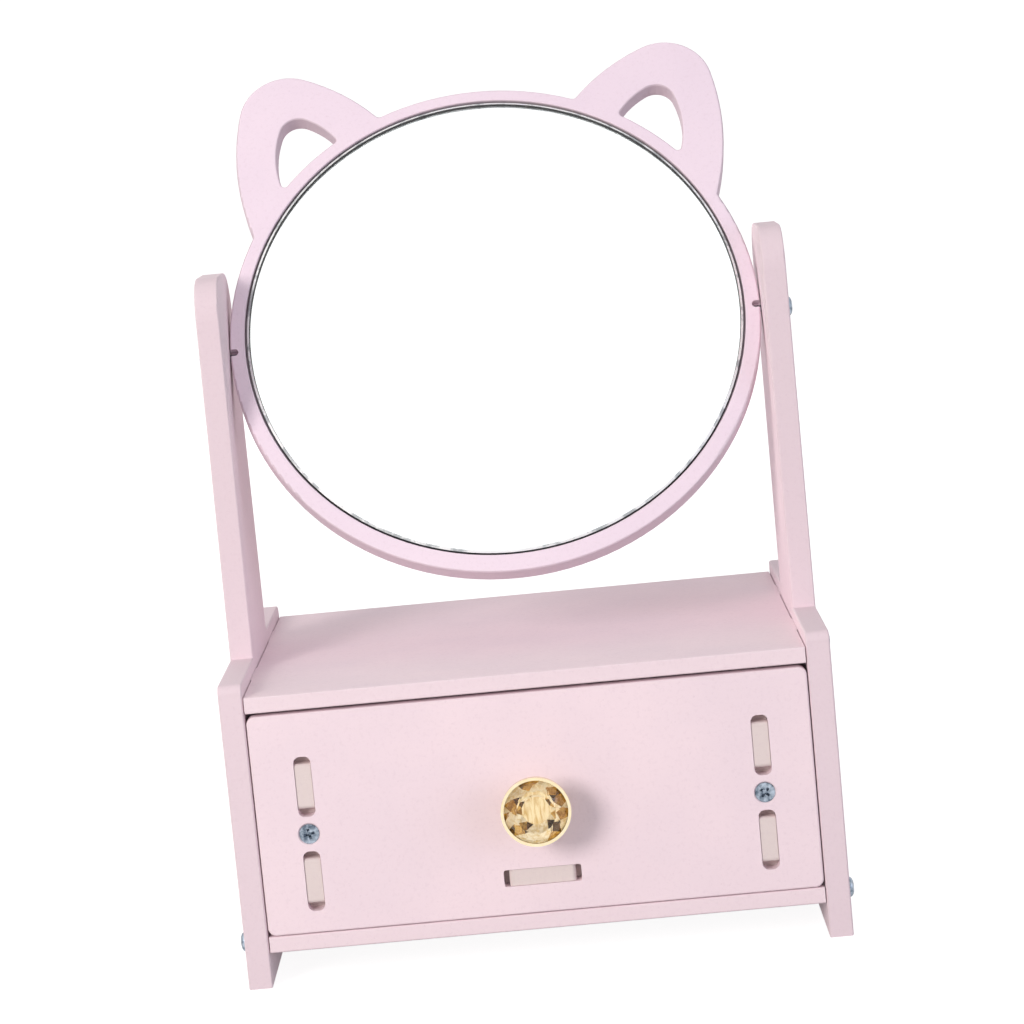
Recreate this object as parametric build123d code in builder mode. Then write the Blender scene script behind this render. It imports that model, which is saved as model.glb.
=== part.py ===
from build123d import *
import math
import os

# Tabletop mirror with one drawer, in millimetres.
# X runs across the front, Y from the front to the back, Z up. The origin is the middle of
# the overall box, on the surface that the object stands on.

# Cabinet
inside_width = 204.8
side_board = 8.8
side_depth = 175.0
shoulder_height = 113.5
shelf_board = 6.0
top_panel_low = 102.5
bottom_panel_low = 13.0
shelf_end_gap = 0.4
back_board = 6.0
back_inset = 6.0
back_panel_gap = 0.3
shoulder_round = 4.0
board_edge_round = 0.7

# Uprights, which are one piece with the side panels
upright_foot_setback = 54.0
upright_top_setback = 62.0
upright_back_setback = 114.0
upright_height = 257.0
upright_corner_round = 16.0

# Tabs, and the slots that they stand in
shelf_tab_length = 24.0
shelf_tab_front = 48.0
shelf_tab_back = 128.0
back_tab_length = 20.0
back_tab_spread = 38.0
tab_recess = 0.4
tab_corner_round = 1.5
slot_end_gap = 2.8
slot_side_gap = 0.15
slot_corner_round = 2.4

# Drawer
drawer_board = 6.0
drawer_top_gap = 1.2
drawer_side_gap = 0.45
drawer_run_gap = 0.3
drawer_rear_gap = 3.0
drawer_front_round = 3.0
drawer_wall_spread = 166.6
drawer_wall_height = 74.0
drawer_tab_length = 16.8
drawer_tab_spread = 35.3
drawer_floor_rise = 10.7
drawer_floor_tab = 24.4
drawer_floor_tab_gap = 2.0
drawer_floor_slot_round = 0.9
drawer_floor_side_gap = 0.2

# Knob
knob_height = 60.6
knob_foot_radius = 6.0
knob_foot_thickness = 2.0
knob_foot_edge = 1.0
knob_neck_radius = 3.9
knob_neck_length = 6.0
knob_cup_radius = 12.7
knob_cup_length = 7.5
knob_cup_taper = 3.3
knob_cup_bend = 2.4
knob_flare = 1.0
knob_cup_wall = 1.1
knob_cup_floor = 2.5
knob_lip = 0.9
crystal_gap = 0.05
crystal_facets = 12
crystal_table_radius = 7.2
crystal_foot_radius = 5.5
crystal_girdle_height = 1.2
crystal_crown_height = 4.0
knob_screw_radius = 2.0
knob_screw_reach = 7.0
knob_screw_end_gap = 0.5
knob_screw_head_radius = 3.9
knob_screw_head_height = 2.4
knob_washer_radius = 5.0
knob_washer_thickness = 0.8
knob_washer_gap = 0.2

# Tilting mirror
mirror_lean = 30.0
pivot_setback = 90.0
pivot_height = 224.5
mirror_board = 8.8
pivot_depth = 5.0
frame_side_gap = 0.4
frame_rise = 2.0
frame_edge_round = 0.9
frame_rim_width = 5.8
pocket_rise = 1.1
pocket_depth = 3.1
pocket_edge_round = 0.5
glass_thickness = 2.5
glass_fit = 0.7
glass_bevel = 0.4
adhesive_thickness = 0.4
adhesive_radius = 84.0
notch_width = 2.8
notch_length = 3.2
notch_depth = 3.7

# Ears. The tip's middle is measured from the frame's middle and rim, and the hole from the tip's middle
ear_tip_angle = 37.6
ear_tip_reach = 20.43
ear_tip_radius = 19.2
ear_inner_angle = 22.4
ear_outer_angle = 62.8
ear_inner_flank_radius = 79.0
ear_outer_flank_radius = 102.0
ear_root_round = 2.0
ear_hole_inward = 3.9
ear_hole_below = 7.2
ear_hole_top_radius = 7.3
ear_hole_low_margin = 0.2
ear_hole_inner_angle = 33.0
ear_hole_outer_angle = 49.7
ear_hole_inner_flank_radius = 31.0
ear_hole_outer_flank_radius = 40.0
ear_hole_tip_round = 1.4

# Pivot screws and their washers
pivot_screw_radius = 1.5
pivot_screw_grip = 11.0
pivot_head_radius = 4.0
pivot_head_height = 2.4
pivot_washer_radius = 5.0
pivot_washer_thickness = 0.8
pivot_washer_gap = 0.05
running_gap = 0.05

# Board screws
screw_radius = 1.5
screw_length = 20.0
screw_pilot_gap = 0.05
pilot_extra = 1.0
pan_head_radius = 3.8
pan_head_height = 2.1
pan_head_roundness = 0.7
bottom_screw_end = 9.0
top_screw_end = 26.0
flat_head_radius = 3.7
flat_head_sink = 0.15
flat_head_fit = 0.05
flat_head_edge = 0.3
flat_head_angle = 90.0
flat_screw_length = 21.0
cross_span = 3.4
cross_width = 0.9
cross_depth = 1.3
screw_point_length = 3.0
screw_point_radius = 0.3

# Places worked out from the sizes above
half_inside = inside_width / 2
frame_radius = half_inside - frame_side_gap
pocket_radius = frame_radius - frame_rim_width
outer_face = half_inside + side_board
knob_reach = knob_foot_thickness + knob_neck_length + knob_cup_length + crystal_crown_height
front_y = (knob_reach - side_depth) / 2
back_y = front_y + side_depth
top_panel_mid = top_panel_low + shelf_board / 2
bottom_panel_mid = bottom_panel_low + shelf_board / 2
bottom_panel_top = bottom_panel_low + shelf_board
back_panel_rear = back_y - back_inset
back_panel_front = back_panel_rear - back_board
back_panel_mid_z = (bottom_panel_top + top_panel_low) / 2
drawer_low = bottom_panel_top + drawer_run_gap
drawer_front_back = front_y + drawer_board
drawer_rear = back_panel_front - drawer_rear_gap
drawer_back_front = drawer_rear - drawer_board
drawer_wall_x = drawer_wall_spread / 2
drawer_wall_mid_z = drawer_low + drawer_wall_height / 2
drawer_floor_low = drawer_low + drawer_floor_rise
drawer_floor_mid = drawer_floor_low + drawer_board / 2
drawer_front_width = inside_width - 2 * drawer_side_gap
drawer_front_top = top_panel_low - drawer_top_gap
drawer_front_height = drawer_front_top - drawer_low
pivot_y = front_y + pivot_setback
tab_heights = [drawer_wall_mid_z - drawer_tab_spread / 2, drawer_wall_mid_z + drawer_tab_spread / 2]
shelf_tab_places = [front_y + shelf_tab_front, front_y + shelf_tab_back]
back_tab_heights = [back_panel_mid_z - back_tab_spread / 2, back_panel_mid_z + back_tab_spread / 2]
bottom_screw_places = [front_y + bottom_screw_end, back_y - bottom_screw_end]
top_screw_places = [front_y + top_screw_end, back_y - top_screw_end]

os.makedirs("parts", exist_ok=True)


def save(piece, label):
    piece.part.label = label
    export_step(piece.part, "parts/" + label + ".step")


# Planes that the sketches lie on

def side_plane(x):
    return Plane(origin=(x, 0, 0), x_dir=(0, 1, 0), z_dir=(1, 0, 0))


def front_plane(y):
    return Plane(origin=(0, y, 0), x_dir=(1, 0, 0), z_dir=(0, -1, 0))


def mirror_plane(depth_from_face):
    lean = math.radians(mirror_lean)
    tilt = Plane(
        origin=(0, pivot_y, pivot_height),
        x_dir=(1, 0, 0),
        z_dir=(0, -math.cos(lean), math.sin(lean)),
    )
    return tilt.offset(pivot_depth - depth_from_face)


def outward(side, x, y, z):
    return Plane(origin=(x, y, z), x_dir=(0, side, 0), z_dir=(side, 0, 0))


# Fasteners

def screw_profile_plane(place):
    return Plane(origin=place.origin, x_dir=place.x_dir, z_dir=-place.y_dir)


def cut_cross(place, top):
    with BuildSketch(place.offset(top)) as cross:
        Rectangle(cross_span, cross_width)
        Rectangle(cross_width, cross_span)
    extrude(cross.sketch, amount=-cross_depth, mode=Mode.SUBTRACT)


def pan_screw(place, head_radius, head_height, shank_radius, length):
    with BuildPart() as screw:
        with BuildSketch(screw_profile_plane(place)) as profile:
            with BuildLine():
                Polyline(
                    (0, head_height),
                    (0, -length),
                    (screw_point_radius, -length),
                    (shank_radius, -length + screw_point_length),
                    (shank_radius, 0),
                    (head_radius, 0),
                    (head_radius, head_height),
                    close=True,
                )
            make_face()
            rim = profile.vertices().sort_by_distance((head_radius, head_height))[0]
            fillet(rim, head_height * pan_head_roundness)
        revolve(axis=Axis(place.origin, place.z_dir))
        cut_cross(place, head_height)
    return screw.part


def flat_screw(place, length):
    cone = (flat_head_radius - screw_radius) / math.tan(math.radians(flat_head_angle / 2))
    with BuildPart() as screw:
        with BuildSketch(screw_profile_plane(place)):
            with BuildLine():
                Polyline(
                    (0, 0),
                    (0, -length),
                    (screw_point_radius, -length),
                    (screw_radius, -length + screw_point_length),
                    (screw_radius, -flat_head_edge - cone),
                    (flat_head_radius, -flat_head_edge),
                    (flat_head_radius, 0),
                    (0, 0),
                )
            make_face()
        revolve(axis=Axis(place.origin, place.z_dir))
        cut_cross(place, 0)
    return screw.part


def washer(place, radius, bore, thickness):
    with BuildPart() as ring:
        with BuildSketch(place):
            Circle(radius)
            Circle(bore, mode=Mode.SUBTRACT)
        extrude(amount=thickness)
    return ring.part


# Side panels

def side_panel(side):
    low_x = half_inside if side > 0 else -outer_face
    with BuildPart() as panel:
        with BuildSketch(side_plane(low_x)) as outline:
            with BuildLine():
                Polyline(
                    (front_y, 0),
                    (back_y, 0),
                    (back_y, shoulder_height),
                    (front_y + upright_back_setback, shoulder_height),
                    (front_y + upright_back_setback, upright_height),
                    (front_y + upright_top_setback, upright_height),
                    (front_y + upright_foot_setback, shoulder_height),
                    (front_y, shoulder_height),
                    close=True,
                )
            make_face()
            fillet(outline.vertices().group_by(Axis.Y)[-1], upright_corner_round)
            for y in (front_y, back_y):
                shoulder = outline.vertices().sort_by_distance((y, shoulder_height))[0]
                fillet(shoulder, shoulder_round)
        extrude(amount=side_board)
        rims = panel.faces().sort_by(Axis.X)[0].edges() + panel.faces().sort_by(Axis.X)[-1].edges()
        fillet(rims, board_edge_round)
        with BuildSketch(side_plane(low_x)):
            for tab_y in shelf_tab_places:
                with Locations((tab_y, top_panel_mid), (tab_y, bottom_panel_mid)):
                    RectangleRounded(
                        shelf_tab_length + 2 * slot_end_gap,
                        shelf_board + 2 * slot_side_gap,
                        slot_corner_round,
                    )
            for tab_z in back_tab_heights:
                with Locations((back_panel_rear - back_board / 2, tab_z)):
                    RectangleRounded(
                        back_board + 2 * slot_side_gap,
                        back_tab_length + 2 * slot_end_gap,
                        slot_corner_round,
                    )
        extrude(amount=side_board, mode=Mode.SUBTRACT)
        with BuildSketch(side_plane(low_x)):
            for y in bottom_screw_places:
                with Locations((y, bottom_panel_mid)):
                    Circle(screw_radius + screw_pilot_gap)
            for y in top_screw_places:
                with Locations((y, top_panel_mid)):
                    Circle(screw_radius + screw_pilot_gap)
            with Locations((back_panel_rear - back_board / 2, back_panel_mid_z)):
                Circle(screw_radius + screw_pilot_gap)
            with Locations((pivot_y, pivot_height)):
                Circle(pivot_screw_radius + running_gap)
        extrude(amount=side_board, mode=Mode.SUBTRACT)
    return panel


left_side_panel = side_panel(-1)
save(left_side_panel, "left_side_panel")
right_side_panel = side_panel(1)
save(right_side_panel, "right_side_panel")

# Top, bottom and back panels, with tabs through the side panels

board_half = half_inside - shelf_end_gap
board_pilot_depth = screw_length + pilot_extra - side_board - shelf_end_gap
tab_tip = outer_face - tab_recess


def shelf(low_z, screw_places):
    with BuildPart() as panel:
        with BuildSketch(Plane.XY.offset(low_z)) as outline:
            with Locations((0, (front_y + back_y) / 2)):
                Rectangle(2 * board_half, side_depth)
            for tab_y in shelf_tab_places:
                with Locations((0, tab_y)):
                    Rectangle(2 * tab_tip, shelf_tab_length)
            tips = outline.vertices().group_by(Axis.X)
            fillet(tips[0] + tips[-1], tab_corner_round)
        extrude(amount=shelf_board)
        front_edges = panel.faces().sort_by(Axis.Y)[0].edges().filter_by(Axis.X)
        back_edges = panel.faces().sort_by(Axis.Y)[-1].edges().filter_by(Axis.X)
        fillet(front_edges + back_edges, board_edge_round)
        for side in (-1, 1):
            with BuildSketch(outward(side, side * board_half, 0, low_z + shelf_board / 2)):
                for y in screw_places:
                    with Locations((side * y, 0)):
                        Circle(screw_radius + screw_pilot_gap)
            extrude(amount=-board_pilot_depth, mode=Mode.SUBTRACT)
    return panel


top_panel = shelf(top_panel_low, top_screw_places)
save(top_panel, "top_panel")
bottom_panel = shelf(bottom_panel_low, bottom_screw_places)
save(bottom_panel, "bottom_panel")

with BuildPart() as back_panel:
    with BuildSketch(front_plane(back_panel_front)) as back_outline:
        with Locations((0, back_panel_mid_z)):
            Rectangle(2 * board_half, top_panel_low - bottom_panel_top - 2 * back_panel_gap)
        for tab_z in back_tab_heights:
            with Locations((0, tab_z)):
                Rectangle(2 * tab_tip, back_tab_length)
        back_tips = back_outline.vertices().group_by(Axis.X)
        fillet(back_tips[0] + back_tips[-1], tab_corner_round)
    extrude(amount=-back_board)
    for side in (-1, 1):
        with BuildSketch(outward(side, side * board_half, back_panel_rear - back_board / 2, 0)):
            with Locations((0, back_panel_mid_z)):
                Circle(screw_radius + screw_pilot_gap)
        extrude(amount=-board_pilot_depth, mode=Mode.SUBTRACT)
save(back_panel, "back_panel")


def cabinet_screws(side):
    places = [(y, bottom_panel_mid) for y in bottom_screw_places]
    places += [(y, top_panel_mid) for y in top_screw_places]
    places += [(back_panel_rear - back_board / 2, back_panel_mid_z)]
    with BuildPart() as screws:
        for y, z in places:
            place = outward(side, side * outer_face, y, z)
            add(pan_screw(place, pan_head_radius, pan_head_height, screw_radius, screw_length))
    return screws


left_cabinet_screws = cabinet_screws(-1)
save(left_cabinet_screws, "left_cabinet_screws")
right_cabinet_screws = cabinet_screws(1)
save(right_cabinet_screws, "right_cabinet_screws")

# Drawer, whose walls stand between its front and back boards

wall_inner = drawer_wall_x - drawer_board / 2
wall_outer = drawer_wall_x + drawer_board / 2
floor_tab_y = (drawer_front_back + drawer_back_front) / 2
screw_points = [(-drawer_wall_x, drawer_wall_mid_z), (drawer_wall_x, drawer_wall_mid_z)]
slot_points = [(x, z) for x in (-drawer_wall_x, drawer_wall_x) for z in tab_heights]


def cut_end_slots(face_plane):
    with BuildSketch(face_plane) as slots:
        with Locations(*slot_points):
            RectangleRounded(
                drawer_board + 2 * slot_side_gap,
                drawer_tab_length + 2 * slot_end_gap,
                slot_corner_round,
            )
        with Locations((0, drawer_floor_mid)):
            RectangleRounded(
                drawer_floor_tab + 2 * drawer_floor_tab_gap,
                drawer_board + 2 * slot_side_gap,
                drawer_floor_slot_round,
            )
    extrude(slots.sketch, amount=-drawer_board, mode=Mode.SUBTRACT)


def cut_countersinks(places):
    with Locations(*places):
        CounterSinkHole(
            radius=screw_radius + screw_pilot_gap,
            counter_sink_radius=flat_head_radius + flat_head_edge + flat_head_sink + flat_head_fit,
            depth=drawer_board,
            counter_sink_angle=flat_head_angle,
        )


def screw_seats(y, facing):
    return [Plane(origin=(x, y, z), x_dir=(1, 0, 0), z_dir=(0, facing, 0)) for x, z in screw_points]


front_seats = screw_seats(front_y, -1)
back_seats = screw_seats(drawer_rear, 1)

with BuildPart() as drawer_front:
    with BuildSketch(front_plane(front_y)):
        with Locations((0, drawer_low + drawer_front_height / 2)):
            RectangleRounded(drawer_front_width, drawer_front_height, drawer_front_round)
    extrude(amount=-drawer_board)
    front_rims = drawer_front.faces().sort_by(Axis.Y)[0].edges()
    back_rims = drawer_front.faces().sort_by(Axis.Y)[-1].edges()
    fillet(front_rims + back_rims, board_edge_round)
    cut_end_slots(front_plane(front_y))
    cut_countersinks(front_seats)
    with BuildSketch(front_plane(front_y)):
        with Locations((0, knob_height)):
            Circle(knob_screw_radius + screw_pilot_gap)
    extrude(amount=-drawer_board, mode=Mode.SUBTRACT)
save(drawer_front, "drawer_front")

with BuildPart() as drawer_back:
    with BuildSketch(front_plane(drawer_back_front)):
        with Locations((0, drawer_wall_mid_z)):
            RectangleRounded(drawer_front_width, drawer_wall_height, drawer_front_round)
    extrude(amount=-drawer_board)
    cut_end_slots(front_plane(drawer_back_front))
    cut_countersinks(back_seats)
save(drawer_back, "drawer_back")


def drawer_wall(side):
    low_x = side * drawer_wall_x - drawer_board / 2
    front_tip = front_y + tab_recess
    back_tip = drawer_rear - tab_recess
    with BuildPart() as wall:
        with BuildSketch(side_plane(low_x)) as outline:
            with Locations((floor_tab_y, drawer_wall_mid_z)):
                Rectangle(drawer_back_front - drawer_front_back, drawer_wall_height)
            for tab_z in tab_heights:
                with Locations(((front_tip + back_tip) / 2, tab_z)):
                    Rectangle(back_tip - front_tip, drawer_tab_length)
            ends = outline.vertices().group_by(Axis.X)
            fillet(ends[0] + ends[-1], tab_corner_round)
        extrude(amount=drawer_board)
        with BuildSketch(side_plane(low_x)):
            with Locations((floor_tab_y, drawer_floor_mid)):
                RectangleRounded(
                    drawer_floor_tab + 2 * drawer_floor_tab_gap,
                    drawer_board + 2 * slot_side_gap,
                    drawer_floor_slot_round,
                )
        extrude(amount=drawer_board, mode=Mode.SUBTRACT)
        middle = (side * drawer_wall_x, drawer_wall_mid_z)
        pilot_depth = flat_screw_length + pilot_extra - drawer_board
        for y, facing in ((drawer_front_back, -1), (drawer_back_front, 1)):
            seat = Plane(origin=(middle[0], y, middle[1]), x_dir=(1, 0, 0), z_dir=(0, facing, 0))
            with BuildSketch(seat):
                Circle(screw_radius + screw_pilot_gap)
            extrude(amount=-pilot_depth, mode=Mode.SUBTRACT)
        top_edges = wall.faces().sort_by(Axis.Z)[-1].edges().filter_by(Axis.Y)
        fillet(top_edges, board_edge_round)
    return wall


drawer_left_wall = drawer_wall(-1)
save(drawer_left_wall, "drawer_left_wall")
drawer_right_wall = drawer_wall(1)
save(drawer_right_wall, "drawer_right_wall")

with BuildPart() as drawer_floor:
    with BuildSketch(Plane.XY.offset(drawer_floor_low)) as floor_outline:
        floor_length = drawer_back_front - drawer_front_back
        with Locations((0, floor_tab_y)):
            Rectangle(2 * (wall_inner - drawer_floor_side_gap), floor_length - 2 * drawer_floor_side_gap)
            Rectangle(drawer_floor_tab, floor_length + 2 * (drawer_board - tab_recess))
            Rectangle(2 * (wall_outer - tab_recess), drawer_floor_tab)
        floor_x_tips = floor_outline.vertices().group_by(Axis.X)
        floor_y_tips = floor_outline.vertices().group_by(Axis.Y)
        fillet(
            floor_x_tips[0] + floor_x_tips[-1] + floor_y_tips[0] + floor_y_tips[-1],
            tab_corner_round,
        )
    extrude(amount=drawer_board)
save(drawer_floor, "drawer_floor")

with BuildPart() as drawer_front_screws:
    for seat in front_seats:
        add(flat_screw(seat.offset(-flat_head_sink), flat_screw_length))
save(drawer_front_screws, "drawer_front_screws")

with BuildPart() as drawer_back_screws:
    for seat in back_seats:
        add(flat_screw(seat.offset(-flat_head_sink), flat_screw_length))
save(drawer_back_screws, "drawer_back_screws")

# Knob: a cast cup on a neck, with a cut stone in it

knob_place = Plane(origin=(0, front_y, knob_height), x_dir=(1, 0, 0), z_dir=(0, -1, 0))
neck_top = knob_foot_thickness + knob_neck_length
cup_rim = neck_top + knob_cup_length
stone_radius = knob_cup_radius - knob_cup_wall
stone_floor = neck_top + knob_cup_floor
stone_tip = cup_rim + crystal_crown_height

with BuildPart() as knob_base:
    with BuildSketch(screw_profile_plane(knob_place)):
        with BuildLine():
            Polyline(
                (0, 0),
                (knob_foot_radius, 0),
                (knob_foot_radius, knob_foot_edge),
                (knob_neck_radius, knob_foot_thickness),
                (knob_neck_radius, neck_top - knob_flare),
            )
            ThreePointArc(
                (knob_neck_radius, neck_top - knob_flare),
                (knob_cup_radius - knob_cup_taper, neck_top + knob_cup_bend),
                (knob_cup_radius, cup_rim - knob_flare),
            )
            Polyline(
                (knob_cup_radius, cup_rim - knob_flare),
                (knob_cup_radius, cup_rim + knob_lip),
                (stone_radius, cup_rim + knob_lip),
                (stone_radius, cup_rim - crystal_girdle_height),
                (crystal_foot_radius, stone_floor),
                (0, stone_floor),
                (0, 0),
            )
        make_face()
    revolve(axis=Axis(knob_place.origin, knob_place.z_dir))
    with BuildSketch(knob_place):
        Circle(knob_screw_radius + screw_pilot_gap)
    extrude(amount=knob_screw_reach, mode=Mode.SUBTRACT)
save(knob_base, "knob_base")

with BuildPart() as knob_crystal:
    with BuildSketch(knob_place.offset(stone_floor + crystal_gap)):
        RegularPolygon(crystal_foot_radius - crystal_gap, crystal_facets)
    with BuildSketch(knob_place.offset(cup_rim - crystal_girdle_height)):
        RegularPolygon(stone_radius - crystal_gap, crystal_facets)
    loft(ruled=True)
    with BuildSketch(knob_place.offset(cup_rim - crystal_girdle_height)):
        RegularPolygon(stone_radius - crystal_gap, crystal_facets)
    extrude(amount=crystal_girdle_height)
    with BuildSketch(knob_place.offset(cup_rim)):
        RegularPolygon(stone_radius - crystal_gap, crystal_facets)
    with BuildSketch(knob_place.offset(stone_tip)):
        RegularPolygon(crystal_table_radius, crystal_facets)
    loft(ruled=True)
save(knob_crystal, "knob_crystal")

knob_seat = Plane(origin=(0, drawer_front_back, knob_height), x_dir=(1, 0, 0), z_dir=(0, 1, 0))
knob_screw_depth = drawer_board + knob_washer_thickness + knob_screw_reach
knob_screw_length = knob_screw_depth - knob_screw_end_gap

with BuildPart() as knob_washer:
    knob_washer_bore = knob_screw_radius + knob_washer_gap
    add(washer(knob_seat, knob_washer_radius, knob_washer_bore, knob_washer_thickness))
save(knob_washer, "knob_washer")

with BuildPart() as knob_screw:
    add(
        pan_screw(
            knob_seat.offset(knob_washer_thickness),
            knob_screw_head_radius,
            knob_screw_head_height,
            knob_screw_radius,
            knob_screw_length,
        )
    )
save(knob_screw, "knob_screw")

# Mirror frame: a round board with two ears, drawn on the leaning mirror's own plane


def touching_arc(start, tip, tip_radius, arc_radius, side):
    reach = arc_radius - tip_radius
    gap = tip - start
    along = (arc_radius**2 - reach**2 + gap.length**2) / (2 * gap.length)
    across = side * math.sqrt(arc_radius**2 - along**2)
    unit = gap.normalized()
    centre = start + unit * along + Vector(-unit.Y, unit.X) * across
    touch = centre + (tip - centre).normalized() * arc_radius
    middle = centre + ((start + touch) * 0.5 - centre).normalized() * arc_radius
    return touch, middle


def round_frame_middle(radius, angle):
    turn = math.radians(angle)
    return Vector(radius * math.sin(turn), frame_rise + radius * math.cos(turn))


def lobe_arcs(inner, outer, tip, tip_radius, inner_radius, outer_radius):
    inner_touch, inner_middle = touching_arc(inner, tip, tip_radius, inner_radius, -1)
    outer_touch, outer_middle = touching_arc(outer, tip, tip_radius, outer_radius, 1)
    tip_middle = tip + ((inner_touch + outer_touch) * 0.5 - tip).normalized() * tip_radius
    return (
        (inner, inner_middle, inner_touch),
        (inner_touch, tip_middle, outer_touch),
        (outer_touch, outer_middle, outer),
    )


ear_tip = round_frame_middle(frame_radius + ear_tip_reach, ear_tip_angle)
inner_root = round_frame_middle(frame_radius, ear_inner_angle)
outer_root = round_frame_middle(frame_radius, ear_outer_angle)
hole_low_radius = frame_radius + ear_hole_low_margin
hole_middle_angle = (ear_hole_inner_angle + ear_hole_outer_angle) / 2
hole_inner = round_frame_middle(hole_low_radius, ear_hole_inner_angle)
hole_low_middle = round_frame_middle(hole_low_radius, hole_middle_angle)
hole_outer = round_frame_middle(hole_low_radius, ear_hole_outer_angle)
hole_tip = ear_tip - Vector(ear_hole_inward, ear_hole_below)
mirror_axis = Axis(mirror_plane(0).origin, mirror_plane(0).z_dir)

with BuildPart() as mirror_frame:
    with BuildSketch(mirror_plane(0)) as frame_outline:
        with Locations((0, frame_rise)):
            Circle(frame_radius)
        with BuildLine():
            for points in lobe_arcs(
                inner_root,
                outer_root,
                ear_tip,
                ear_tip_radius,
                ear_inner_flank_radius,
                ear_outer_flank_radius,
            ):
                ThreePointArc(*points)
            Line(outer_root, inner_root)
        make_face()
        mirror(about=Plane.YZ)
        inner_roots = [
            frame_outline.vertices().sort_by_distance((side * inner_root.X, inner_root.Y))[0]
            for side in (-1, 1)
        ]
        fillet(inner_roots, ear_root_round)
        with BuildSketch(mode=Mode.PRIVATE) as ear_hole:
            with BuildLine():
                for points in lobe_arcs(
                    hole_inner,
                    hole_outer,
                    hole_tip,
                    ear_hole_top_radius,
                    ear_hole_inner_flank_radius,
                    ear_hole_outer_flank_radius,
                ):
                    ThreePointArc(*points)
                ThreePointArc(hole_outer, hole_low_middle, hole_inner)
            make_face()
            sharp = [
                ear_hole.vertices().sort_by_distance((corner.X, corner.Y))[0]
                for corner in (hole_inner, hole_outer)
            ]
            fillet(sharp, ear_hole_tip_round)
        add(ear_hole.sketch, mode=Mode.SUBTRACT)
        add(ear_hole.sketch.mirror(Plane.YZ), mode=Mode.SUBTRACT)
    extrude(amount=-mirror_board)
    face_rims = mirror_frame.faces().sort_by(mirror_axis)
    fillet(face_rims[0].edges() + face_rims[-1].edges(), frame_edge_round)
    with BuildSketch(mirror_plane(0)):
        with Locations((0, frame_rise + pocket_rise)):
            Circle(pocket_radius)
    extrude(amount=-pocket_depth, mode=Mode.SUBTRACT)
    pocket_rim = mirror_frame.edges().filter_by(GeomType.CIRCLE).filter_by(
        lambda edge: abs(edge.radius - pocket_radius) < pocket_edge_round
    )
    fillet(pocket_rim.sort_by(mirror_axis)[-1], pocket_edge_round)
    with BuildSketch(mirror_plane(0)):
        with Locations((frame_radius, 0), (-frame_radius, 0)):
            SlotOverall(2 * notch_length, notch_width)
    extrude(amount=-notch_depth, mode=Mode.SUBTRACT)
    for side in (-1, 1):
        with BuildSketch(outward(side, side * frame_radius, pivot_y, pivot_height)):
            Circle(pivot_screw_radius + screw_pilot_gap)
        extrude(amount=-pivot_screw_grip - pilot_extra, mode=Mode.SUBTRACT)
save(mirror_frame, "mirror_frame")

glass_low = pocket_depth - adhesive_thickness

with BuildPart() as mirror_glass:
    with BuildSketch(mirror_plane(glass_low)):
        with Locations((0, frame_rise + pocket_rise)):
            Circle(pocket_radius - glass_fit)
    extrude(amount=glass_thickness)
    glass_faces = mirror_glass.faces().sort_by(mirror_axis)
    chamfer(glass_faces[-1].edges(), glass_bevel)
save(mirror_glass, "mirror_glass")

with BuildPart() as mirror_adhesive:
    with BuildSketch(mirror_plane(pocket_depth)):
        with Locations((0, frame_rise + pocket_rise)):
            Circle(adhesive_radius)
    extrude(amount=adhesive_thickness)
save(mirror_adhesive, "mirror_adhesive")

# Pivot screws: through a washer and the upright, into the frame's edge

head_seat = outer_face + pivot_washer_gap + pivot_washer_thickness
pivot_screw_length = head_seat - frame_radius + pivot_screw_grip


def pivot_screw(side):
    place = outward(side, side * head_seat, pivot_y, pivot_height)
    with BuildPart() as screw:
        add(
            pan_screw(
                place, pivot_head_radius, pivot_head_height, pivot_screw_radius, pivot_screw_length
            )
        )
    return screw


def pivot_washer(side):
    place = outward(side, side * (outer_face + pivot_washer_gap), pivot_y, pivot_height)
    bore = pivot_screw_radius + running_gap
    with BuildPart() as ring:
        add(washer(place, pivot_washer_radius, bore, pivot_washer_thickness))
    return ring


left_pivot_screw = pivot_screw(-1)
save(left_pivot_screw, "left_pivot_screw")
right_pivot_screw = pivot_screw(1)
save(right_pivot_screw, "right_pivot_screw")
left_pivot_washer = pivot_washer(-1)
save(left_pivot_washer, "left_pivot_washer")
right_pivot_washer = pivot_washer(1)
save(right_pivot_washer, "right_pivot_washer")
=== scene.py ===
"""Looks of a tabletop mirror with one drawer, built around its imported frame.

The dataclasses hold real sizes in millimetres. They turn to metres where a mesh or a node is made.
"""

import logging
import math
import random
from collections.abc import Callable, Sequence
from dataclasses import dataclass
from enum import Enum

import bmesh
import bpy
from mathutils import Matrix, Vector


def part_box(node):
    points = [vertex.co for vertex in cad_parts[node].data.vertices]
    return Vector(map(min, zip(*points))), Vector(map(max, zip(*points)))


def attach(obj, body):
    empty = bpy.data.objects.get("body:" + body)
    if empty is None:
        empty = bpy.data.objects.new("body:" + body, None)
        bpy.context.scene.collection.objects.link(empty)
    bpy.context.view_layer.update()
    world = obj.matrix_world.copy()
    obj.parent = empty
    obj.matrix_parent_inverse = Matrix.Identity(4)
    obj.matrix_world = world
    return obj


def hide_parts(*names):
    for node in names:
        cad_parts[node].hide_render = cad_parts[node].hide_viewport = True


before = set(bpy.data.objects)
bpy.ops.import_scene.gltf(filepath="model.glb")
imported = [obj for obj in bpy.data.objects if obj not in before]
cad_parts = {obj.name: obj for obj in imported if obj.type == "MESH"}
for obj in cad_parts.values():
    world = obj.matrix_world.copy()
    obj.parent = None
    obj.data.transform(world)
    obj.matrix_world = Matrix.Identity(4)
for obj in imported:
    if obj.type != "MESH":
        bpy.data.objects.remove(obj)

LOG = logging.getLogger("mirror")
MM = 0.001
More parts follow.
